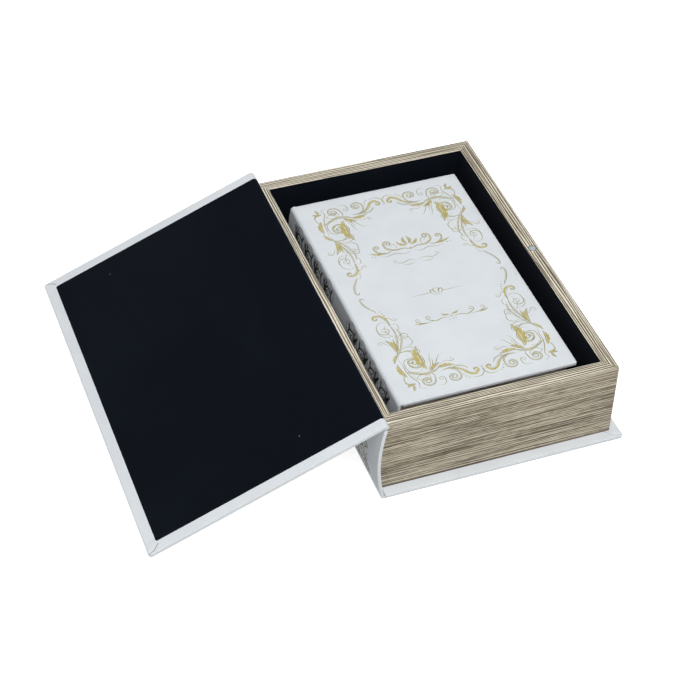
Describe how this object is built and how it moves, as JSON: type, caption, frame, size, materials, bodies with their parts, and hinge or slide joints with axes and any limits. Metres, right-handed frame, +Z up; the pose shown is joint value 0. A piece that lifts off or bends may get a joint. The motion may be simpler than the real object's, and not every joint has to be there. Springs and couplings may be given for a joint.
{
  "type": "book box",
  "caption": "Hinged storage box shaped like a bound book, lying open, with a smaller closed box of the same kind nested in its velvet-lined tray.",
  "frame": {"origin": "middle of the large box's base, on its underside", "axes": "+X from the spine to the fore edge, +Y from the tail to the head, +Z up; the open lid lies towards -X"},
  "size_m": [0.3283, 0.27, 0.0679],
  "materials": {
    "white_leatherette": "satin white leatherette with a fine pebbled grain",
    "wood_grain": "matt greige wood grain, brushed along each wall",
    "black_velvet": "short blue-black velvet pile",
    "fibreboard": "bare fibreboard, covered on every side that shows",
    "magnet_nickel": "nickel-plated disc",
    "gold_foil": "hot-stamped gold foil scrollwork"
  },
  "bodies": {
    "large_tray": {"base_board": "fibreboard", "base_leatherette": "white_leatherette", "wall_head": "wood_grain", "wall_tail": "wood_grain", "wall_fore_edge": "wood_grain", "wall_spine": "wood_grain", "floor_panel": "fibreboard", "floor_velvet": "black_velvet", "lining_head": "black_velvet", "lining_tail": "black_velvet", "lining_fore_edge": "black_velvet", "lining_spine": "black_velvet", "spine_board": "fibreboard", "spine_leatherette": "white_leatherette", "lower_joint": "white_leatherette", "lid_joint": "white_leatherette", "rim_magnet": "magnet_nickel"},
    "large_lid": {"lid_board": "fibreboard", "lid_leatherette": "white_leatherette", "lid_velvet": "black_velvet", "lid_magnet": "magnet_nickel"},
    "small_tray": {"small_base_board": "fibreboard", "small_base_leatherette": "white_leatherette", "small_wall_head": "wood_grain", "small_wall_tail": "wood_grain", "small_wall_fore_edge": "wood_grain", "small_wall_spine": "wood_grain", "small_floor_panel": "fibreboard", "small_floor_velvet": "black_velvet", "small_lining_head": "black_velvet", "small_lining_tail": "black_velvet", "small_lining_fore_edge": "black_velvet", "small_lining_spine": "black_velvet", "small_spine_board": "fibreboard", "small_spine_leatherette": "white_leatherette", "small_lower_joint": "white_leatherette", "small_lid_joint": "white_leatherette", "small_rim_magnet": "magnet_nickel"},
    "small_lid": {"small_lid_board": "fibreboard", "small_lid_leatherette": "white_leatherette", "small_lid_velvet": "black_velvet", "small_lid_magnet": "magnet_nickel"}
  },
  "joints": [
    {"name": "large_lid_hinge", "type": "hinge", "parent": "large_tray", "child": "large_lid", "pos_m": [-0.085, 0, 0.0649], "axis": [0, -1, 0], "range_deg": [-202.41, 0], "deforming": ["lid_joint"]},
    {"name": "small_box_lift", "type": "slide", "parent": "large_tray", "child": "small_tray", "axis": [0, 0, 1], "range_m": [0, 0.12]},
    {"name": "small_lid_hinge", "type": "hinge", "parent": "small_tray", "child": "small_lid", "pos_m": [-0.0646, 0, 0.0518], "axis": [0, -1, 0], "range_deg": [0, 201.5], "deforming": ["small_lid_joint"]}
  ],
  "couplings": [
    {"joint": "small_lid_hinge", "follows": "small_box_lift", "rad_per_m": 29.306}
  ]
}
